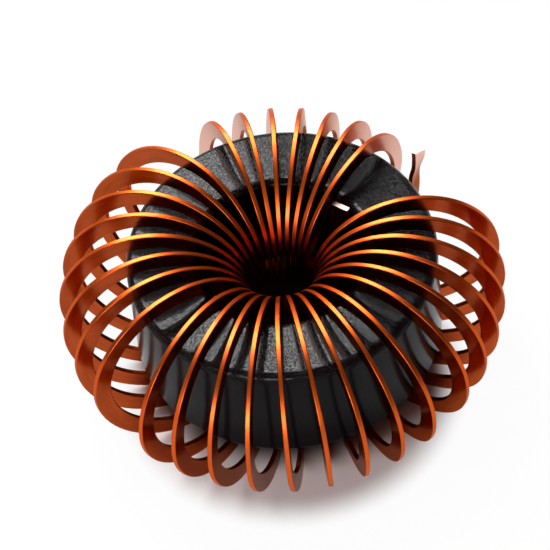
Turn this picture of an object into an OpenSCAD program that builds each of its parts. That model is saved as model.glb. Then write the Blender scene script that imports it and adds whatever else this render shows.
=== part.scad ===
// Toroidal inductor for high current: a flat enamelled copper wire, wound on edge in open loops
// round a coated powder ring. The turns stand on the XY plane and the ring's axis is upright.
// The wire is wound counter-clockwise from above, in four groups with a space after each one.

/* [Ring core] */
// Outside diameter of the coated ring
core_od = 47.6; // [44:0.1:50]
// Inside diameter of the coated ring
core_id = 26; // [24:0.1:28]
// Height of the coated ring
core_h = 19.5; // [15:0.1:22]
// Radius of the ring's rounded edges
core_edge = 1.4; // [0.5:0.1:2.5]
// Shift of the ring in the winding, to the right
core_shift_x = 0.5; // [0:0.1:0.8]
// Shift of the ring in the winding, to the rear
core_shift_y = 0.3; // [0:0.1:0.8]
// Drop of the ring from the middle of the turns to where it rests
core_drop = 0.3; // [0.1:0.05:0.6]
// Clearance between the ring and the turns that it rests in
seat_gap = 0.2; // [0.1:0.05:0.4]

/* [Flat wire] */
// Width of the flat wire, which stands off the ring
wire_w = 2.8; // [2:0.1:3.4]
// Thickness of the flat wire, along the ring
wire_t = 0.75; // [0.5:0.05:0.9]
// Clearance between neighbouring turns where they crowd in the hole
turn_gap = 0.07; // [0.04:0.01:0.2]

/* [Turns] */
// Number of turns in the rear, left, front and right groups
group_turns = [7, 8, 9, 6]; // [4:1:10]
// Angle in the hole of each group's first turn, counter-clockwise from the right
hole_first = [43, 119, 226, 319]; // [30:0.5:330]
// Angle in the hole of each group's last turn
hole_last = [105.5, 210, 304, 373]; // [90:0.5:380]
// Angle at the rim of each group's first turn
rim_first = [47, 134, 226.5, 319.5]; // [30:0.5:330]
// Angle at the rim of each group's last turn
rim_last = [109, 209, 306.5, 367]; // [90:0.5:380]
// Outward offset of the turns' middle from the middle of the ring's section
turn_offset = 1.2; // [0.6:0.1:1.8]
// Spare room at the rim, beyond the tightest oval that clears the ring, in all but the rear group
rim_room = 4.3; // [1:0.1:7]
// Spare room at the rim of the rear group, whose turns are pressed in
rear_room = 0.75; // [0:0.05:3]
// Twist of the rear group's turns at the rim
rear_twist = 12; // [0:1:15]

/* [Standing wire end] */
// Angle at the rim of the leg that the standing end continues
start_angle = 39; // [34:0.5:40]
// Spare room at the rim of that leg
start_room = 0.25; // [0:0.05:2]
// Height of the standing end above the ring's top
start_up = 2.3; // [0:0.1:6]
// Distance by which the standing end leans towards the ring
start_lean = 1.4; // [0:0.1:1.8]
// Angle by which the standing end leans round the ring, towards the right
start_sway = 6.5; // [0:0.5:8]
// Twist of the standing end
start_twist = 20; // [0:1:30]
// Fall of the slanted cut across the width of the standing end
start_cut = 1.8; // [0:0.1:3]

/* [Wire end in the hole] */
// Angle in the hole at which the end leaves the last turn's bottom
end_angle = 24; // [20:0.5:28]
// Angle of the end's tip round the axis
end_tip_angle = 33.5; // [28:0.5:36]
// Height of the end above the ring's top
end_up = 1; // [0:0.1:3]
// Clearance between the end and the ring's inner wall
end_gap = 0.4; // [0.2:0.05:1]
// Twist that lays the end's broad face along the ring's inner wall
end_twist = 70; // [50:1:90]

/* [Hidden] */
$fn = 96;

// Steps of the sweep along one turn and along one wire end
turn_steps = 36;
lead_steps = 12;

// Each turn as its group and its place in the group from 0 to 1, in winding order
turn_places = [
    for (g = [0 : len(group_turns) - 1])
        for (k = [0 : group_turns[g] - 1])
            [g, k / (group_turns[g] - 1)]
];
turns = len(turn_places);
rear_group = 0;
full_round = 360;

// Angles of each turn's legs, with the two wire ends as the leg before and the leg after
hole_angles = concat(
    [for (q = turn_places) mix(hole_first[q[0]], hole_last[q[0]], q[1])],
    full_round + end_angle
);
rim_angles = concat(
    [for (q = turn_places) mix(rim_first[q[0]], rim_last[q[0]], q[1])],
    start_angle
);
least_pitch = min([for (i = [1 : turns - 1]) hole_angles[i] - hole_angles[i - 1]]);

// Each turn is an oval round the ring's section, sized so that the ring rests in it
turn_r = (core_od + core_id) / 4 + turn_offset;
hole_r = (wire_t + turn_gap) / (2 * sin(least_pitch / 2));
half_in = turn_r - hole_r - wire_w / 2;
core_shift = norm([core_shift_x, core_shift_y]);
edge_to_wire = core_edge + seat_gap + wire_w / 2;
edge_r = turn_r - core_id / 2 - core_edge + core_shift;
edge_z = core_h / 2 - core_edge + core_drop;
half_up = edge_to_wire + edge_z / sqrt(1 - pow(edge_r / (half_in - edge_to_wire), 2));
tight_out = edge_to_wire
    + (core_od / 2 - core_edge - turn_r + core_shift) / sqrt(1 - pow(edge_z / (half_up - edge_to_wire), 2));
turn_z = half_up + wire_w / 2;
core_z = turn_z - core_drop;
core_top = core_z + core_h / 2;

// The rear turns reach less far, so the ring's axis lies behind the middle of the base
axis_y = (rim_room - rear_room) / 2;

// Share of the standing end over which its slanted cut fades
start_cut_fade = 1 / 3;

// The end in the hole leaves the oval at this phase, bends outward and then stands upright
end_leave = 325;
end_bend = 0.5 * half_up;
end_rise = 0.75 * half_up;
end_off_wall = 90 - end_twist;
end_wall_r = core_id / 2 + core_shift_x * cos(end_tip_angle) + core_shift_y * sin(end_tip_angle);
end_half_depth = (wire_w * sin(end_off_wall) + wire_t * cos(end_off_wall)) / 2;
end_tip_r = end_wall_r - end_half_depth - end_gap;
end_twist_from = 0.45;

function mix(a, b, f) = a + (b - a) * f;
function ease(f) = (1 - cos(180 * f)) / 2;

// Whether turn i is in the rear group, where turn -1 is the leg of the standing end
function pressed(i) = i >= 0 && turn_places[i][0] == rear_group;

// Outward half-width of turn i
function half_out(i) =
    tight_out + (i < 0 ? start_room : pressed(i) ? rear_room : rim_room);
function rim_angle(i) = rim_angles[i < 0 ? turns : i];

// Angle round the axis at a phase: 0 in the hole, 90 over the ring, 180 at the rim, 270 below the ring.
// The rear turns lean at the rim, where the others stand upright.
function turn_angle(i, phase) =
    phase < 180
        ? mix(hole_angles[i], rim_angle(i), pressed(i) ? 1 - cos(phase / 2) : ease(phase / 180))
        : mix(rim_angle(i), hole_angles[i + 1], pressed(i) ? -cos(phase / 2) : ease(phase / 180 - 1));

// Twist of the section, which is greatest at the rim and gone over and below the ring
function turn_twist(i, phase) =
    (i < 0 ? start_twist : pressed(i) ? rear_twist : 0) * max(-cos(phase), 0);

// Centre line of turn i and its outward normal, as distance from the axis and height
function half_width(i, phase) = cos(phase) > 0 ? half_in : half_out(i);
function turn_point(i, phase) =
    [turn_r - half_width(i, phase) * cos(phase), turn_z + half_up * sin(phase)];
function turn_normal(i, phase) =
    let (n = [-half_up * cos(phase), half_width(i, phase) * sin(phase)])
    n / norm(n);

// Corners of the wire's section round a point of its centre line. The width lies along the normal
// and the thickness along the ring, both turned by the twist. A slanted cut lowers the outer side.
function wire_section(point, normal, angle, twist = 0, cut = 0) =
    let (
        radial = [cos(angle), sin(angle), 0],
        along = [-sin(angle), cos(angle), 0],
        across = normal[0] * radial + [0, 0, normal[1]],
        middle = point[0] * radial + [0, axis_y, point[1]],
        half_w = (across * cos(twist) + along * sin(twist)) * wire_w / 2 - [0, 0, cut / 2],
        half_t = (along * cos(twist) - across * sin(twist)) * wire_t / 2
    )
    [middle + half_w + half_t, middle - half_w + half_t,
     middle - half_w - half_t, middle + half_w - half_t];

function turn_section(i, phase) =
    wire_section(turn_point(i, phase), turn_normal(i, phase), turn_angle(i, phase), turn_twist(i, phase));

// Section of the standing end, from its cut top at 0 down to the leg's middle at 1
function start_section(f) =
    let (
        leg = turn_point(-1, 180),
        bent = 1 - ease(f),
        point = [leg[0] - start_lean * bent, mix(core_top + start_up, leg[1], f)],
        cut = start_cut * max(1 - f / start_cut_fade, 0)
    )
    wire_section(point, [1, 0], start_angle - start_sway * bent, start_twist, cut);

// Section of the end in the hole, from where it leaves the last turn at 0 to its tip at 1
function curve_point(a, b, c, d, f) =
    a * pow(1 - f, 3) + b * 3 * f * pow(1 - f, 2) + c * 3 * f * f * (1 - f) + d * pow(f, 3);
function curve_slope(a, b, c, d, f) =
    (b - a) * pow(1 - f, 2) + (c - b) * 2 * f * (1 - f) + (d - c) * f * f;
function end_section(f) =
    let (
        leave_normal = turn_normal(turns - 1, end_leave),
        a = turn_point(turns - 1, end_leave),
        b = a + end_bend * [leave_normal[1], -leave_normal[0]],
        d = [end_tip_r, core_top + end_up],
        c = d - [0, end_rise],
        slope = curve_slope(a, b, c, d, f),
        normal = [-slope[1], slope[0]] / norm(slope),
        angle = mix(turn_angle(turns - 1, end_leave), full_round + end_tip_angle, ease(f)),
        turned = ease(max(f - end_twist_from, 0) / (1 - end_twist_from))
    )
    wire_section(curve_point(a, b, c, d, f), normal, angle, end_twist * turned);

turn_step = full_round / turn_steps;
sections = concat(
    [for (k = [0 : lead_steps - 1]) start_section(k / lead_steps)],
    [for (phase = [180 : turn_step : full_round - turn_step]) turn_section(-1, phase)],
    [
        for (i = [0 : turns - 1])
            for (phase = [0 : turn_step : full_round - turn_step])
                if (i < turns - 1 || phase < end_leave)
                    turn_section(i, phase)
    ],
    [for (k = [1 : lead_steps]) end_section(k / lead_steps)]
);

// Sweep of four-cornered sections into one closed solid
module swept_wire(rings) {
    sides = len(rings[0]);
    last = (len(rings) - 1) * sides;
    walls = [
        for (k = [0 : len(rings) - 2])
            for (j = [0 : sides - 1])
                let (
                    here = k * sides,
                    next = here + sides,
                    j2 = (j + 1) % sides
                )
                each [[here + j, next + j2, next + j], [here + j, here + j2, next + j2]]
    ];
    first_cap = [for (j = [sides - 1 : -1 : 0]) j];
    last_cap = [for (j = [0 : sides - 1]) last + j];
    polyhedron(
        points = [for (ring = rings) each ring],
        faces = concat(walls, [first_cap], [last_cap])
    );
}

// Section of the ring with its rounded edges
module core_profile() {
    low = core_edge;
    high = core_h - core_edge;
    inner = core_id / 2;
    outer = core_od / 2;
    translate([inner + core_edge, 0])
        square([outer - inner - 2 * core_edge, core_h]);
    translate([inner, low])
        square([outer - inner, high - low]);
    for (r = [inner + core_edge, outer - core_edge], z = [low, high])
        translate([r, z])
            circle(core_edge);
}

module toroid_core() {
    color([0.09, 0.09, 0.1])
        translate([core_shift_x, axis_y + core_shift_y, core_z - core_h / 2])
            rotate_extrude()
                core_profile();
}

module winding() {
    color([0.72, 0.36, 0.13])
        swept_wire(sections);
}

toroid_core();
winding();
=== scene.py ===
"""Toroidal inductor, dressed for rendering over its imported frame.

A flat enamelled wire, wound on edge, runs in open loops round a black coated ring. Sizes are in
millimetres, as in the part's own source, and become metres only where a mesh, lamp or camera is made.
"""
from __future__ import annotations

import logging
import math
from dataclasses import dataclass, field
from enum import Enum
from typing import Any, Callable, Sequence, Union

import bpy
from mathutils import Matrix, Vector

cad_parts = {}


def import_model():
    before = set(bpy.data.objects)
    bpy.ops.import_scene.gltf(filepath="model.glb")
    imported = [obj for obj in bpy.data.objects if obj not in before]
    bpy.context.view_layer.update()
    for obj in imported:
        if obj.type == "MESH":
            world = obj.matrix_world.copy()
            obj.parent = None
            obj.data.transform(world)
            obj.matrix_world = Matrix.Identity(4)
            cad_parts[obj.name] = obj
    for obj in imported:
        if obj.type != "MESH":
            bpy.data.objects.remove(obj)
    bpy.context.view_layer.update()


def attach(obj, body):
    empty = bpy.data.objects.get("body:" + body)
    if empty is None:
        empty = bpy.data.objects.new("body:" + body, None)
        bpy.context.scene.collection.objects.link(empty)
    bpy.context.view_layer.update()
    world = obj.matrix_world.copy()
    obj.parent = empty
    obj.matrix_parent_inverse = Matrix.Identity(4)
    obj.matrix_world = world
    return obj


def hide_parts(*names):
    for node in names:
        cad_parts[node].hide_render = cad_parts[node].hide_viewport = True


LOG = logging.getLogger("toroidal_inductor")
MM = 0.001
WIRE_UV = "wire"
BARE_AND_SHEEN = "bare_and_sheen"
NARROW = "narrow"
NOISE_MEAN = 0.5
QUARTER_TURN = 90.0
HALF_TURN = 180.0
FULL_TURN = 360.0
MIX_FACTOR = 0
MIX_FIRST_COLOUR = 6
MIX_SECOND_COLOUR = 7
MIX_COLOUR = 2

Colour = tuple[float, float, float, float]
Triple = tuple[float, float, float]
Span = tuple[float, float]
OutlinePoint = tuple[float, float, float, float]
Value = Union[float, Sequence[float], "Signal"]
Sockets = dict[Union[str, int], Value]

WHITE: Colour = (1.0, 1.0, 1.0, 1.0)


class Surface(Enum):
    """Sockets of the main shader that a varying value may feed."""

    COLOUR = "Base Color"
    ROUGHNESS = "Roughness"
    NORMAL = "Normal"


class Layout(Enum):
    """Coordinates that a pattern is laid out in."""

    SOLID = "Object"
    WIRE = "UV"


def mix(a: float, b: float, share: float) -> float:
    """Return the value that lies the given share of the way from a to b."""
    return a + (b - a) * share


def ease(share: float) -> float:
    """Return a share from 0 to 1 with a soft start and a soft stop."""
    return (1 - math.cos(math.pi * share)) / 2


def ramp(value: float, zero: float, one: float) -> float:
    """Return a straight ramp that is 0 up to one value and 1 from another on."""
    return min(max((value - zero) / (one - zero), 0.0), 1.0)


@dataclass(frozen=True)
class Pattern:
    """A noise pattern: patches per millimetre, octaves, weight of the finer ones, and its squeeze."""

    scale: float
    octaves: float
    weight: float
    squeeze: Triple = (1.0, 1.0, 1.0)


@dataclass(frozen=True)
class Relief:
    """A bump: the height of a full step in millimetres, and the share of the bending that is used."""

    depth: float
    strength: float


class Signal:
    """A shader socket whose arithmetic adds Math nodes to its board."""

    def __init__(self, board: "Board", socket: bpy.types.NodeSocket | None) -> None:
        """Wrap a socket of a node on a board, or none where the node has no output."""
        self.board = board
        self.socket = socket

    def _math(self, operation: str, first: Value, second: Value) -> "Signal":
        """Return the result of one Math node."""
        return self.board.node("ShaderNodeMath", {"operation": operation}, {0: first, 1: second})

    def __add__(self, other: Value) -> "Signal":
        """Add a value or a signal."""
        return self._math("ADD", self, other)

    def __radd__(self, other: Value) -> "Signal":
        """Add this signal to a value."""
        return self._math("ADD", other, self)

    def __sub__(self, other: Value) -> "Signal":
        """Take a value or a signal away."""
        return self._math("SUBTRACT", self, other)

    def __rsub__(self, other: Value) -> "Signal":
        """Take this signal away from a value."""
        return self._math("SUBTRACT", other, self)

    def __mul__(self, other: Value) -> "Signal":
        """Multiply by a value or a signal."""
        return self._math("MULTIPLY", self, other)

    def __rmul__(self, other: Value) -> "Signal":
        """Multiply a value by this signal."""
        return self._math("MULTIPLY", other, self)

    def clamp(self) -> "Signal":
        """Limit the signal to the span from 0 to 1."""
        return self._math("MINIMUM", self._math("MAXIMUM", self, 0.0), 1.0)

    def rise(self, low: float, high: float) -> "Signal":
        """Turn the signal into a smooth rise.

        Args:
            low: Value up to which the rise is 0.
            high: Value from which on it is 1.

        Returns:
            The rise.
        """
        return self.board.node(
            "ShaderNodeMapRange",
            {"interpolation_type": "SMOOTHSTEP"},
            {"Value": self, "From Min": low, "From Max": high},
        )


class Board:
    """The nodes of one material, or of the world."""

    def __init__(self, tree: bpy.types.NodeTree) -> None:
        """Take over a node tree and empty it."""
        self.tree = tree
        self.tree.nodes.clear()

    @classmethod
    def of_material(cls, name: str) -> tuple["Board", bpy.types.Material]:
        """Make a material with an empty board.

        Args:
            name: Name of the material.

        Returns:
            The board and the material.
        """
        material = bpy.data.materials.new(name)
        material.use_nodes = True
        return cls(material.node_tree), material

    def node(
        self,
        kind: str,
        settings: dict[str, Any] | None = None,
        inputs: Sockets | None = None,
        output: Union[str, int] = 0,
    ) -> Signal:
        """Add any node.

        Args:
            kind: Type of the node.
            settings: Properties of the node, which are set first.
            inputs: Values or links of its sockets.
            output: Name or number of the output that is wanted.

        Returns:
            That output.
        """
        added = self.tree.nodes.new(kind)
        for name, value in (settings or {}).items():
            setattr(added, name, value)
        for name, value in (inputs or {}).items():
            if isinstance(value, Signal):
                self.tree.links.new(value.socket, added.inputs[name])
            else:
                added.inputs[name].default_value = value
        return Signal(self, added.outputs[output] if len(added.outputs) else None)

    def vector(self, operation: str, first: Value, second: Value, output: str = "Vector") -> Signal:
        """Return the result of one Vector Math node.

        Args:
            operation: What the node works out.
            first: First vector.
            second: Second vector.
            output: Vector, or Value where the result is a number.

        Returns:
            The result.
        """
        return self.node("ShaderNodeVectorMath", {"operation": operation}, {0: first, 1: second}, output)

    def blend(self, share: Value, first: Value, second: Value) -> Signal:
        """Mix two colours.

        Args:
            share: Share of the second colour.
            first: First colour.
            second: Second colour.

        Returns:
            The mixed colour.
        """
        inputs: Sockets = {MIX_FACTOR: share, MIX_FIRST_COLOUR: first, MIX_SECOND_COLOUR: second}
        return self.node("ShaderNodeMix", {"data_type": "RGBA"}, inputs, MIX_COLOUR)

    def place(self, layout: Layout, squeeze: Sequence[float] = (1.0, 1.0, 1.0)) -> Signal:
        """Return pattern coordinates in millimetres.

        Args:
            layout: Where the pattern lies.
            squeeze: Factors that squeeze the pattern along each axis.

        Returns:
            The coordinates.
        """
        if layout is Layout.WIRE:
            source = self.node("ShaderNodeUVMap", {"uv_map": WIRE_UV})
            return self.vector("MULTIPLY", source, tuple(squeeze))
        source = self.node("ShaderNodeTexCoord", None, None, layout.value)
        return self.vector("MULTIPLY", source, tuple(factor / MM for factor in squeeze))

    def noise(self, pattern: Pattern, layout: Layout) -> Signal:
        """Return a noise pattern.

        Args:
            pattern: Its scale and its octaves.
            layout: Where it lies.

        Returns:
            The noise, from 0 to 1.
        """
        inputs: Sockets = {
            "Vector": self.place(layout, pattern.squeeze),
            "Scale": pattern.scale,
            "Detail": pattern.octaves,
            "Roughness": pattern.weight,
        }
        return self.node("ShaderNodeTexNoise", None, inputs, "Fac")

    def bump(self, height: Signal, relief: Relief, under: Signal | None = None) -> Signal:
        """Return a normal that a height pattern has bent.

        Args:
            height: Height pattern from 0 to 1.
            relief: Its depth and its strength.
            under: Normal of a pattern that lies below.

        Returns:
            The bent normal.
        """
        inputs: Sockets = {"Height": height, "Distance": relief.depth * MM, "Strength": relief.strength}
        if under is not None:
            inputs["Normal"] = under
        return self.node("ShaderNodeBump", None, inputs)

    def attribute(self, name: str) -> Signal:
        """Return a number that is stored on the mesh."""
        return self.node("ShaderNodeAttribute", {"attribute_name": name}, None, "Fac")

    def shader(self, fixed: dict[str, Value], varying: dict[Surface, Signal]) -> Signal:
        """Add a surface shader.

        Args:
            fixed: Values that are the same all over.
            varying: Signals for the sockets that may vary.

        Returns:
            The shader.
        """
        inputs: Sockets = dict(fixed)
        for socket, signal in varying.items():
            inputs[socket.value] = signal
        return self.node("ShaderNodeBsdfPrincipled", None, inputs)

    def join(self, share: Signal, first: Signal, second: Signal) -> Signal:
        """Mix two shaders.

        Args:
            share: Share of the second shader.
            first: First shader.
            second: Second shader.

        Returns:
            The mixed shader.
        """
        return self.node("ShaderNodeMixShader", None, {0: share, 1: first, 2: second})

    def finish(self, shader: Signal, output: str = "ShaderNodeOutputMaterial") -> None:
        """Join a shader to the output."""
        self.node(output, None, {"Surface": shader})


@dataclass(frozen=True)
class EnamelledCopper:
    """Clear orange-brown enamel over drawn copper, worn off at the ends, with a painted highlight on the
    narrow edges, painted shade on them in the hole and under the ring, and a painted pale sheen on the
    rear turns.
    """

    deep: Colour = (0.29, 0.042, 0.011, 1.0)
    bright: Colour = (0.48, 0.08, 0.018, 1.0)
    # Painted highlight: the light colour of the narrow edges stands in for the lamp light they gather,
    # over and above their thinner enamel.
    painted_edge_light: Colour = (0.74, 0.11, 0.013, 1.0)
    # Pale copper: bare at the cut ends, and a painted sheen on the rear turns that stands in for the
    # white background mirrored in their enamel.
    bare_and_sheen: Colour = (0.84, 0.54, 0.45, 1.0)
    edge_tint: Colour = (0.6, 0.46, 0.36, 1.0)
    bare_and_sheen_tint: Colour = (1.0, 0.85, 0.8, 1.0)
    broad_roughness: float = 0.2
    narrow_roughness: float = 0.38
    patch_roughness: float = 0.12
    grain_roughness: float = 0.08
    bare_and_sheen_roughness: float = 0.12
    coat: float = 0.2
    coat_roughness: float = 0.06
    coat_ior: float = 1.3
    streaks: Pattern = Pattern(1.0, 4.0, 0.6, (0.12, 3.0, 1.0))
    patches: Pattern = Pattern(1.0, 3.0, 0.55, (0.09, 0.35, 1.0))
    grain: Pattern = Pattern(6.0, 3.0, 0.6)
    ripple: Relief = Relief(0.05, 0.25)
    drawn: Relief = Relief(0.012, 0.3)
    patch_share: float = 0.65
    tone_span: Span = (0.3, 0.7)
    least_painted_edge_light: float = 0.6
    kept_on_edges: float = 0.8

    def make(self) -> bpy.types.Material:
        """Build the material.

        Returns:
            The material.
        """
        board, material = Board.of_material("enamelled_copper")
        streaks = board.noise(self.streaks, Layout.WIRE)
        patches = board.noise(self.patches, Layout.WIRE)
        grain = board.noise(self.grain, Layout.SOLID)
        bare_and_sheen = board.attribute(BARE_AND_SHEEN)
        narrow = board.attribute(NARROW)
        tone = (self.patch_share * patches + (1.0 - self.patch_share) * streaks).rise(*self.tone_span)
        broad = board.blend(tone, self.deep, self.bright)
        painted_edge_share = narrow * (self.least_painted_edge_light + (1.0 - self.least_painted_edge_light) * tone)
        roughness = (
            self.broad_roughness
            + (self.narrow_roughness - self.broad_roughness) * narrow
            + self.patch_roughness * (patches - NOISE_MEAN)
            + self.grain_roughness * (grain - NOISE_MEAN)
            + self.bare_and_sheen_roughness * bare_and_sheen
        )
        drawn = board.bump(streaks, self.drawn, board.bump(patches, self.ripple))
        coated = board.shader(
            {
                "Metallic": 1.0,
                "Specular Tint": self.edge_tint,
                "Coat Weight": self.coat,
                "Coat Roughness": self.coat_roughness,
                "Coat IOR": self.coat_ior,
            },
            {
                # Narrow edges take the painted highlight colour; where their share is cut back in the
                # hole and under the ring, that is painted shade.
                Surface.COLOUR: board.blend(painted_edge_share, broad, self.painted_edge_light),
                Surface.ROUGHNESS: roughness,
                Surface.NORMAL: drawn,
            },
        )
        metal = board.shader(
            {"Base Color": self.bare_and_sheen, "Metallic": 1.0, "Specular Tint": self.bare_and_sheen_tint},
            {Surface.ROUGHNESS: roughness, Surface.NORMAL: drawn},
        )
        board.finish(board.join(bare_and_sheen * (1.0 - self.kept_on_edges * narrow), coated, metal))
        return material


@dataclass(frozen=True)
class CoreCoating:
    """Black epoxy powder coating: smooth on the wall and orange-peel on the flat faces."""

    base: Colour = (0.0048, 0.004, 0.005, 1.0)
    speck: Colour = (0.32, 0.31, 0.30, 1.0)
    speck_share: float = 0.5
    speck_roughness: float = 0.25
    wall_roughness: float = 0.16
    wall_gloss: float = 0.035
    face_roughness: float = 0.09
    face_gloss: float = 0.2
    peel_roughness: float = 0.15
    peel: Pattern = Pattern(2.3, 3.0, 0.55)
    grit: Pattern = Pattern(7.0, 2.0, 0.6)
    waves: Pattern = Pattern(0.32, 2.0, 0.5)
    dust: Pattern = Pattern(9.0, 1.0, 0.5)
    rolling: Relief = Relief(0.5, 0.05)
    orange_peel: Relief = Relief(0.026, 0.9)
    peel_share: float = 0.75
    peel_span: Span = (0.44, 0.53)
    dust_span: Span = (0.79, 0.83)
    face_margin: float = 0.1

    def make(self, low: float, high: float, edge: float) -> bpy.types.Material:
        """Build the material.

        Args:
            low: Height of the ring's bottom in millimetres.
            high: Height of its top.
            edge: Radius of its rounded edges.

        Returns:
            The material.
        """
        board, material = Board.of_material("core_coating")
        height = board.node("ShaderNodeSeparateXYZ", None, {0: board.place(Layout.SOLID)}, "Z")
        top = height.rise(high - edge, high - self.face_margin * edge)
        face = top + (1.0 - height.rise(low, low + edge))
        peel = board.noise(self.peel, Layout.SOLID)
        grit = board.noise(self.grit, Layout.SOLID)
        waves = board.noise(self.waves, Layout.SOLID)
        dust = board.noise(self.dust, Layout.SOLID).rise(*self.dust_span)
        colour = board.blend(self.speck_share * dust * face, self.base, self.speck)
        relief = (self.peel_share * peel + (1.0 - self.peel_share) * grit).rise(*self.peel_span)
        rolling = board.bump(waves, self.rolling)
        peel_gain = self.peel_roughness * (peel - NOISE_MEAN)
        roughness = self.face_roughness + peel_gain + self.speck_roughness * dust
        wall = board.shader(
            {"Roughness": self.wall_roughness, "Specular IOR Level": self.wall_gloss},
            {Surface.COLOUR: colour, Surface.NORMAL: rolling},
        )
        peeled = board.shader(
            {"Specular IOR Level": self.face_gloss},
            {
                Surface.COLOUR: colour,
                Surface.ROUGHNESS: roughness,
                Surface.NORMAL: board.bump(relief, self.orange_peel, rolling),
            },
        )
        board.finish(board.join(face, wall, peeled))
        return material


def rounded_outline(width: float, height: float, radius: float, steps: int) -> list[OutlinePoint]:
    """Return the outline of a rectangle with round corners.

    Args:
        width: Its whole width.
        height: Its whole height.
        radius: Radius of its corners.
        steps: Steps round each corner.

    Returns:
        Its points about the middle, each followed by its normal.
    """
    points = []
    for corner, (side, end) in enumerate(((1, 1), (-1, 1), (-1, -1), (1, -1))):
        middle_w = side * (width / 2 - radius)
        middle_h = end * (height / 2 - radius)
        for step in range(steps + 1):
            turned = math.radians(QUARTER_TURN * (corner + step / steps))
            out_w = math.cos(turned)
            out_h = math.sin(turned)
            points.append((middle_w + radius * out_w, middle_h + radius * out_h, out_w, out_h))
    return points


def band(here: int, there: int, count: int) -> list[tuple[int, ...]]:
    """Return the faces between two closed outlines.

    Args:
        here: Number of the first outline's first point.
        there: Number of the second outline's first point.
        count: Points in each outline.

    Returns:
        The faces.
    """
    pairs = [(k, (k + 1) % count) for k in range(count)]
    return [(here + a, there + a, there + b, here + b) for a, b in pairs]


def make_mesh(
    name: str,
    points: Sequence[Vector],
    normals: Sequence[Vector],
    faces: Sequence[tuple[int, ...]],
    uvs: Sequence[tuple[float, float]] | None = None,
    numbers: dict[str, Sequence[float]] | None = None,
) -> bpy.types.Object:
    """Make a smooth mesh object.

    Args:
        name: Name of the object.
        points: Places of its corners in metres.
        normals: Normal at each corner.
        faces: Corner numbers of each face.
        uvs: Pattern coordinates of each face corner, in millimetres.
        numbers: Values to store at each point.

    Returns:
        The object, linked to the scene.
    """
    mesh = bpy.data.meshes.new(name)
    mesh.from_pydata([tuple(point) for point in points], [], list(faces))
    mesh.polygons.foreach_set("use_smooth", [True] * len(mesh.polygons))
    if uvs is not None:
        layer = mesh.uv_layers.new(name=WIRE_UV)
        layer.data.foreach_set("uv", [value for pair in uvs for value in pair])
    for key, values in (numbers or {}).items():
        mesh.attributes.new(key, "FLOAT", "POINT").data.foreach_set("value", list(values))
    mesh.normals_split_custom_set_from_vertices([tuple(normal.normalized()) for normal in normals])
    mesh.update()
    piece = bpy.data.objects.new(name, mesh)
    bpy.context.scene.collection.objects.link(piece)
    return piece


def stand_in(piece: bpy.types.Object, material: bpy.types.Material, node: str) -> None:
    """Give a piece its finish and put it in the place of a node.

    Args:
        piece: The piece.
        material: Its finish.
        node: Node of the frame that it stands for.
    """
    piece.data.materials.append(material)
    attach(piece, "root")
    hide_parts(node)


@dataclass
class RingCore:
    """The coated powder ring, seated low in the winding and shifted sideways in it."""

    outer_d: float = 47.6
    inner_d: float = 26.0
    height: float = 19.5
    edge: float = 1.4
    shift: tuple[float, float] = (0.5, 0.3)
    drop: float = 0.3
    segments: int = 240
    arc_steps: int = 10

    def build(self, axis_y: float, level: float) -> bpy.types.Object:
        """Revolve the ring's section into a mesh.

        Args:
            axis_y: Place of the winding's axis.
            level: Height of the ring's middle.

        Returns:
            The ring.
        """
        width = (self.outer_d - self.inner_d) / 2
        middle = (self.outer_d + self.inner_d) / 4
        section = rounded_outline(width, self.height, self.edge, self.arc_steps)
        count = len(section)
        centre = Vector((self.shift[0], axis_y + self.shift[1], level))
        points, normals, faces = [], [], []
        for turn in range(self.segments):
            angle = math.tau * turn / self.segments
            radial = Vector((math.cos(angle), math.sin(angle), 0.0))
            for across, rise, out, up in section:
                points.append((centre + (middle + across) * radial + Vector((0.0, 0.0, rise))) * MM)
                normals.append(out * radial + Vector((0.0, 0.0, up)))
            faces += band(turn * count, (turn + 1) % self.segments * count, count)
        return make_mesh("ring_core", points, normals, faces)

    def dress(self, piece: bpy.types.Object, coating: CoreCoating, level: float) -> None:
        """Coat the ring and put it in the place of its node.

        Args:
            piece: The ring.
            coating: Its finish.
            level: Height of the ring's middle.
        """
        half = self.height / 2
        material = coating.make(level - half, level + half, self.edge)
        stand_in(piece, material, "toroid_core")


@dataclass(frozen=True)
class WireGroup:
    """A run of turns, with the angles of its first and last legs in the hole and at the rim."""

    turns: int
    hole: Span
    rim: Span
    room: float


@dataclass
class WireRing:
    """One section of the wire: its middle, its two directions and what is stored along it."""

    middle: Vector
    across: Vector
    along_ring: Vector
    bare_and_sheen: float = 0.0
    cut: float = 0.0
    painted_edge_light: float = 1.0


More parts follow.
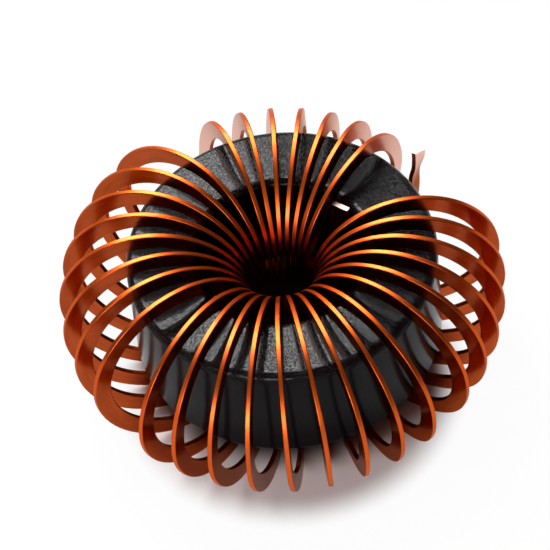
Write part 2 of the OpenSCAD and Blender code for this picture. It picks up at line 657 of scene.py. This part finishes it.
@dataclass
class EdgeWoundWire:
    """The flat wire, wound on edge in four groups of oval turns, with its two ends."""

    core: RingCore
    width: float = 2.8
    thickness: float = 0.75
    corner: float = 0.14
    turn_gap: float = 0.07
    seat_gap: float = 0.2
    turn_offset: float = 1.2
    groups: tuple[WireGroup, ...] = (
        WireGroup(7, (43.0, 105.5), (47.0, 109.0), 0.75),
        WireGroup(8, (119.0, 210.0), (134.0, 209.0), 4.3),
        WireGroup(9, (226.0, 304.0), (226.5, 306.5), 4.3),
        WireGroup(6, (319.0, 373.0), (319.5, 367.0), 4.3),
    )
    rear_twist: float = 12.0
    # Share of painted sheen toward the rim of the rear turns.
    rear_painted_sheen: float = 0.85
    # Phases over which the narrow edges' painted highlight rises out of the hole and falls away under
    # the ring; the darker edges there are painted shade.
    painted_edge_light_from: Span = (5.0, 40.0)
    painted_edge_light_until: Span = (330.0, 270.0)
    start_angle: float = 39.0
    start_room: float = 0.25
    start_up: float = 2.3
    start_lean: float = 1.4
    start_sway: float = 6.5
    start_twist: float = 20.0
    start_cut: float = 1.8
    start_cut_fade: float = 1 / 3
    end_angle: float = 24.0
    end_tip_angle: float = 33.5
    end_up: float = 1.0
    end_gap: float = 0.4
    end_twist: float = 70.0
    end_twist_from: float = 0.45
    end_leave: float = 325.0
    end_bend: float = 0.5
    end_rise: float = 0.75
    turn_steps: int = 72
    lead_steps: int = 24
    corner_steps: int = 3
    hole_angles: list[float] = field(init=False)
    rim_angles: list[float] = field(init=False)
    rooms: list[float] = field(init=False)
    radius: float = field(init=False)
    half_in: float = field(init=False)
    half_up: float = field(init=False)
    tight_out: float = field(init=False)
    middle_z: float = field(init=False)
    axis_y: float = field(init=False)

    def __post_init__(self) -> None:
        """Work out the turns' angles and the oval that they follow."""
        self.hole_angles = self._spread(lambda group: group.hole) + [FULL_TURN + self.end_angle]
        self.rim_angles = self._spread(lambda group: group.rim) + [self.start_angle]
        self.rooms = self._spread(lambda group: (group.room, group.room)) + [self.start_room]
        core = self.core
        pitch = min(b - a for a, b in zip(self.hole_angles[:-2], self.hole_angles[1:-1]))
        self.radius = (core.outer_d + core.inner_d) / 4 + self.turn_offset
        hole = (self.thickness + self.turn_gap) / (2 * math.sin(math.radians(pitch) / 2))
        self.half_in = self.radius - hole - self.width / 2
        shift = math.hypot(*core.shift)
        keep = core.edge + self.seat_gap + self.width / 2
        edge_r = self.radius - core.inner_d / 2 - core.edge + shift
        edge_z = core.height / 2 - core.edge + core.drop
        self.half_up = keep + edge_z / math.sqrt(1 - (edge_r / (self.half_in - keep)) ** 2)
        far_edge = core.outer_d / 2 - core.edge - self.radius + shift
        self.tight_out = keep + far_edge / math.sqrt(1 - (edge_z / (self.half_up - keep)) ** 2)
        self.middle_z = self.half_up + self.width / 2
        self.axis_y = (self.groups[1].room - self.groups[0].room) / 2

    @property
    def turns(self) -> int:
        """Number of turns."""
        return sum(group.turns for group in self.groups)

    @property
    def core_level(self) -> float:
        """Height of the ring's middle."""
        return self.middle_z - self.core.drop

    @property
    def core_top(self) -> float:
        """Height of the ring's top."""
        return self.core_level + self.core.height / 2

    def _spread(self, span: Callable[[WireGroup], Span]) -> list[float]:
        """Spread a value evenly over the turns of each group.

        Args:
            span: Gives a group's first and last value.

        Returns:
            A value for each turn.
        """
        return [
            mix(*span(group), k / (group.turns - 1))
            for group in self.groups
            for k in range(group.turns)
        ]

    def oval(self, turn: int, phase: float) -> tuple[Vector, Vector]:
        """Return a point of a turn and its normal, as distance from the axis and height.

        Args:
            turn: Number of the turn, where -1 is the leg of the standing end.
            phase: 0 in the hole, 90 over the ring, 180 at the rim and 270 below the ring.

        Returns:
            The point and the normal.
        """
        cosine = math.cos(math.radians(phase))
        sine = math.sin(math.radians(phase))
        reach = self.half_in if cosine > 0 else self.tight_out + self.rooms[turn]
        point = Vector((self.radius - reach * cosine, self.middle_z + self.half_up * sine))
        normal = Vector((-self.half_up * cosine, reach * sine)).normalized()
        return point, normal

    def pressed(self, turn: int) -> bool:
        """Tell whether a turn is in the rear group, whose turns are pressed in."""
        return 0 <= turn < self.groups[0].turns

    def angle(self, turn: int, phase: float) -> float:
        """Return the angle round the axis at a phase of a turn.

        Args:
            turn: Number of the turn.
            phase: Phase of the turn in degrees.

        Returns:
            The angle in degrees.
        """
        rim = self.rim_angles[turn]
        half = math.cos(math.radians(phase / 2))
        if phase < HALF_TURN:
            share = 1.0 - half if self.pressed(turn) else ease(phase / HALF_TURN)
            return mix(self.hole_angles[turn], rim, share)
        share = -half if self.pressed(turn) else ease(phase / HALF_TURN - 1.0)
        return mix(rim, self.hole_angles[turn + 1], share)

    def twist(self, turn: int, phase: float) -> float:
        """Return the twist of the section, which is greatest at the rim."""
        most = self.start_twist if turn < 0 else self.rear_twist if self.pressed(turn) else 0.0
        return most * self.outward(phase)

    @staticmethod
    def outward(phase: float) -> float:
        """Return 1 at the rim, falling to 0 over and below the ring."""
        return max(-math.cos(math.radians(phase)), 0.0)

    def ring(
        self,
        point: Vector,
        normal: Vector,
        angle: float,
        twist: float = 0.0,
        bare_and_sheen: float = 0.0,
        cut: float = 0.0,
    ) -> WireRing:
        """Place one section of the wire.

        Args:
            point: Its middle, as distance from the axis and height.
            normal: Direction of its width, in the same plane.
            angle: Angle round the axis in degrees.
            twist: Turn of the section about the wire in degrees.
            bare_and_sheen: Share of the pale copper colour: enamel worn off at the ends, and a painted
                sheen on the rear turns.
            cut: Fall of a slanted cut across the width.

        Returns:
            The section.
        """
        turned = math.radians(angle)
        radial = Vector((math.cos(turned), math.sin(turned), 0.0))
        along = Vector((-math.sin(turned), math.cos(turned), 0.0))
        across = normal[0] * radial + Vector((0.0, 0.0, normal[1]))
        lean = math.radians(twist)
        return WireRing(
            point[0] * radial + Vector((0.0, self.axis_y, point[1])),
            across * math.cos(lean) + along * math.sin(lean),
            along * math.cos(lean) - across * math.sin(lean),
            bare_and_sheen,
            cut,
        )

    def start_rings(self) -> list[WireRing]:
        """Place the standing end, from its cut top down to the middle of its leg.

        Returns:
            Its sections.
        """
        leg, _ = self.oval(-1, HALF_TURN)
        outwards = Vector((1.0, 0.0))
        rings = []
        for step in range(self.lead_steps):
            share = step / self.lead_steps
            bent = 1.0 - ease(share)
            height = mix(self.core_top + self.start_up, leg[1], share)
            point = Vector((leg[0] - self.start_lean * bent, height))
            cut = self.start_cut * max(1.0 - share / self.start_cut_fade, 0.0)
            angle = self.start_angle - self.start_sway * bent
            rings.append(self.ring(point, outwards, angle, self.start_twist, 1.0 - share, cut))
        return rings

    def turn_rings(self) -> list[WireRing]:
        """Place the leg under the ring that leads to the first turn, and all turns.

        Returns:
            Their sections.
        """
        step = FULL_TURN / self.turn_steps
        rings = []
        for turn in range(-1, self.turns):
            first = self.turn_steps // 2 if turn < 0 else 0
            for k in range(first, self.turn_steps):
                phase = k * step
                if turn < self.turns - 1 or phase < self.end_leave:
                    angle = self.angle(turn, phase)
                    # Painted sheen: the rear turns take the pale copper colour toward the rim, in place
                    # of the white background mirrored in their enamel.
                    painted_sheen = self.rear_painted_sheen * self.outward(phase) if self.pressed(turn) else 0.0
                    ring = self.ring(*self.oval(turn, phase), angle, self.twist(turn, phase), painted_sheen)
                    # Painted shade: the narrow edges lose their painted highlight in the hole and under
                    # the ring.
                    ring.painted_edge_light = min(ramp(phase, *self.painted_edge_light_from), ramp(phase, *self.painted_edge_light_until))
                    rings.append(ring)
        return rings

    def end_tip(self) -> Vector:
        """Find the tip of the end in the hole, which lies along the hole's wall.

        Returns:
            Its middle, as distance from the axis and height.
        """
        core = self.core
        off_wall = math.radians(QUARTER_TURN - self.end_twist)
        tip = math.radians(self.end_tip_angle)
        depth = (self.width * math.sin(off_wall) + self.thickness * math.cos(off_wall)) / 2
        wall = core.inner_d / 2 + core.shift[0] * math.cos(tip) + core.shift[1] * math.sin(tip)
        return Vector((wall - depth - self.end_gap, self.core_top + self.end_up))

    def end_rings(self) -> list[WireRing]:
        """Place the end in the hole, from where it leaves the last turn up to its tip.

        Returns:
            Its sections.
        """
        last = self.turns - 1
        a, normal = self.oval(last, self.end_leave)
        b = a + self.end_bend * self.half_up * Vector((normal[1], -normal[0]))
        d = self.end_tip()
        c = d - Vector((0.0, self.end_rise * self.half_up))
        from_angle = self.angle(last, self.end_leave)
        rings = []
        for step in range(1, self.lead_steps + 1):
            f = step / self.lead_steps
            g = 1.0 - f
            point = a * g**3 + b * (3 * f * g * g) + c * (3 * f * f * g) + d * f**3
            slope = (b - a) * (g * g) + (c - b) * (2 * f * g) + (d - c) * (f * f)
            side = Vector((-slope[1], slope[0])).normalized()
            turned = ease(max(f - self.end_twist_from, 0.0) / (1.0 - self.end_twist_from))
            angle = mix(from_angle, FULL_TURN + self.end_tip_angle, ease(f))
            rings.append(self.ring(point, side, angle, self.end_twist * turned))
        return rings

    def build(self) -> bpy.types.Object:
        """Sweep the section along the whole wire.

        Returns:
            The wire.
        """
        rings = self.start_rings() + self.turn_rings() + self.end_rings()
        section = rounded_outline(self.width, self.thickness, self.corner, self.corner_steps)
        count = len(section)
        points, normals, bare_and_sheen, narrow = [], [], [], []
        for ring in rings:
            for w, t, out_w, out_t in section:
                fall = Vector((0.0, 0.0, -ring.cut * w / self.width))
                points.append((ring.middle + ring.across * w + ring.along_ring * t + fall) * MM)
                normals.append(ring.across * out_w + ring.along_ring * out_t)
                bare_and_sheen.append(ring.bare_and_sheen)
                # Share of painted highlight on the narrow edges, cut back to painted shade in the hole
                # and under the ring.
                narrow.append(ring.painted_edge_light * out_w**2)
        faces = []
        for index in range(len(rings) - 1):
            faces += band(index * count, (index + 1) * count, count)
        uvs = self._wall_uvs(rings, section)
        last = len(rings) - 1
        for index, neighbour, order in ((0, 1, 1), (last, last - 1, -1)):
            out = (rings[index].middle - rings[neighbour].middle).normalized()
            first = len(points)
            points += points[index * count:(index + 1) * count]
            normals += [out] * count
            bare_and_sheen += [1.0] * count
            narrow += [0.0] * count
            faces.append(tuple(range(first, first + count))[::order])
            uvs += [(w, t) for w, t, _, _ in section][::order]
        return make_mesh("edge_wound_wire", points, normals, faces, uvs, {BARE_AND_SHEEN: bare_and_sheen, NARROW: narrow})

    @staticmethod
    def _wall_uvs(
        rings: Sequence[WireRing], section: Sequence[OutlinePoint]
    ) -> list[tuple[float, float]]:
        """Return the pattern coordinates along the wire and round it, for each face corner.

        Args:
            rings: Sections along the wire.
            section: Outline of a section.

        Returns:
            The coordinates in millimetres.
        """
        around = [0.0]
        for first, second in zip(section, [*section[1:], section[0]]):
            around.append(around[-1] + math.dist(first[:2], second[:2]))
        uvs = []
        start = 0.0
        for ring, after in zip(rings, rings[1:]):
            stop = start + (after.middle - ring.middle).length
            for low, high in zip(around, around[1:]):
                uvs += [(start, low), (stop, low), (stop, high), (start, high)]
            start = stop
        return uvs

    def dress(self, piece: bpy.types.Object, enamel: EnamelledCopper) -> None:
        """Give the wire its enamel and put it in the place of its node."""
        stand_in(piece, enamel.make(), "winding")


@dataclass(frozen=True)
class SoftBox:
    """A soft box: its middle, the width and height of its face, and its power in watts."""

    name: str
    place: Triple
    size: tuple[float, float]
    power: float


@dataclass
class Studio:
    """A white sweep with soft lamps and the camera."""

    elevation: float = 53.24
    roll: float = 6.52
    distance: float = 600.0
    pixels_per_mm: float = 6.58
    frame_pixels: float = 550.0
    sensor: float = 36.0
    aim_right: float = -0.47
    aim_up: float = -3.35
    far_clip: float = 10000.0
    floor_size: float = 4000.0
    floor_paint: Colour = (0.9, 0.84, 0.83, 1.0)
    # Painted shadow: dark floor paint under the ring, which darkens the floor seen through the hole.
    floor_painted_shadow: Colour = (0.08, 0.055, 0.05, 1.0)
    floor_glow: float = 0.96
    dark_middle: Triple = (0.0, -5.0, 0.0)
    dark_floor: Span = (21.5, 28.0)
    # Distances from the axis over which the painted shadow gives way to the pale paint.
    painted_shadow_floor: Span = (17.0, 22.0)
    ring_floor: Span = (20.0, 25.0)
    bright_side: Triple = (-0.35, 0.93, 0.12)
    bright_span: Span = (0.3, 1.0)
    dim_sky: float = 0.08
    bright_sky: float = 0.4
    boxes: tuple[SoftBox, ...] = (
        SoftBox("rear_box", (-98.0, 235.0, 345.0), (220.0, 300.0), 2.9),
        SoftBox("low_box", (-170.0, -420.0, 210.0), (320.0, 160.0), 1.6),
    )

    def build_camera(self, target: Vector) -> None:
        """Place the camera.

        Args:
            target: Point on the winding's axis at the ring's top, in millimetres.
        """
        data = bpy.data.cameras.new("camera")
        data.sensor_width = self.sensor
        data.lens = self.pixels_per_mm * self.distance * self.sensor / self.frame_pixels
        data.clip_end = self.far_clip * MM
        tilt = Matrix.Rotation(math.radians(QUARTER_TURN - self.elevation), 4, "X")
        turn = tilt @ Matrix.Rotation(math.radians(-self.roll), 4, "Z")
        offset = turn.to_3x3() @ Vector((self.aim_right, self.aim_up, self.distance))
        camera = bpy.data.objects.new("camera", data)
        camera.matrix_world = Matrix.Translation((target + offset) * MM) @ turn
        bpy.context.scene.collection.objects.link(camera)
        bpy.context.scene.camera = camera

    def build_floor(self) -> bpy.types.Object:
        """Lay the floor.

        Returns:
            The floor.
        """
        half = self.floor_size / 2 * MM
        sides = ((-half, -half), (half, -half), (half, half), (-half, half))
        corners = [Vector((x, y, 0.0)) for x, y in sides]
        floor = make_mesh("floor", corners, [Vector((0.0, 0.0, 1.0))] * len(corners), [(0, 1, 2, 3)])
        floor.data.materials.append(self._floor_finish())
        return floor

    def _floor_finish(self) -> bpy.types.Material:
        """Build the floor's paint: white all round, with a painted shadow below the ring, and with the
        real shadow kept.

        Returns:
            The material.
        """
        board, material = Board.of_material("white_floor")
        place = board.place(Layout.SOLID)
        from_axis = board.vector("DISTANCE", place, (0.0, 0.0, 0.0), "Value")
        from_dark = board.vector("DISTANCE", place, self.dark_middle, "Value")
        # Painted shadow: a dark diffuse paint inside the ring, blended into the pale paint.
        painted_shadow_bsdf = board.node("ShaderNodeBsdfDiffuse", None, {"Color": self.floor_painted_shadow})
        paint = board.node("ShaderNodeBsdfDiffuse", None, {"Color": self.floor_paint})
        glow = board.node("ShaderNodeEmission", None, {"Color": WHITE, "Strength": 1.0})
        painted = board.join(from_axis.rise(*self.painted_shadow_floor), painted_shadow_bsdf, paint)
        open_floor = from_dark.rise(*self.dark_floor) * from_axis.rise(*self.ring_floor)
        board.finish(board.join(self.floor_glow * self._seen(board) * open_floor, painted, glow))
        return material

    @staticmethod
    def _seen(board: Board) -> Signal:
        """Tell which rays show the background: straight, mirrored or through glass.

        Args:
            board: Board that the nodes go on.

        Returns:
            1 for those rays and 0 for others.
        """
        straight, mirrored, through = (
            board.node("ShaderNodeLightPath", None, None, name)
            for name in ("Is Camera Ray", "Is Glossy Ray", "Is Transmission Ray")
        )
        return (straight + mirrored + through).clamp()

    def build_world(self) -> None:
        """Make the dim surroundings, which are brighter at one side."""
        world = bpy.data.worlds.new("studio")
        world.use_nodes = True
        bpy.context.scene.world = world
        board = Board(world.node_tree)
        facing = board.node("ShaderNodeTexCoord", None, None, "Generated")
        turned = board.vector("DOT_PRODUCT", facing, self.bright_side, "Value")
        dim, bright = (
            board.node("ShaderNodeBackground", None, {"Color": WHITE, "Strength": strength})
            for strength in (self.dim_sky, self.bright_sky)
        )
        board.finish(board.join(turned.rise(*self.bright_span), dim, bright), "ShaderNodeOutputWorld")

    def build_lamps(self, target: Vector) -> None:
        """Hang the soft boxes.

        Args:
            target: Point that they face, in millimetres.
        """
        for box in self.boxes:
            data = bpy.data.lights.new(box.name, "AREA")
            data.shape = "RECTANGLE"
            data.size = box.size[0] * MM
            data.size_y = box.size[1] * MM
            data.energy = box.power
            place = Vector(box.place)
            facing = (target - place).to_track_quat("-Z", "Y").to_matrix().to_4x4()
            lamp = bpy.data.objects.new(box.name, data)
            lamp.matrix_world = Matrix.Translation(place * MM) @ facing
            bpy.context.scene.collection.objects.link(lamp)


def main() -> None:
    """Build the inductor, the studio and the camera."""
    logging.basicConfig(level=logging.INFO, format="%(name)s: %(message)s")
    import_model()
    core = RingCore()
    wire = EdgeWoundWire(core)
    ring_piece = core.build(wire.axis_y, wire.core_level)
    core.dress(ring_piece, CoreCoating(), wire.core_level)
    wire_piece = wire.build()
    wire.dress(wire_piece, EnamelledCopper())
    for piece in (ring_piece, wire_piece):
        LOG.info("%s: %d faces", piece.name, len(piece.data.polygons))
    studio = Studio()
    target = Vector((0.0, wire.axis_y, wire.core_top))
    studio.build_camera(target)
    studio.build_floor()
    studio.build_world()
    studio.build_lamps(target)
    bpy.context.scene.view_settings.view_transform = "Standard"


if __name__ == "__main__":
    main()
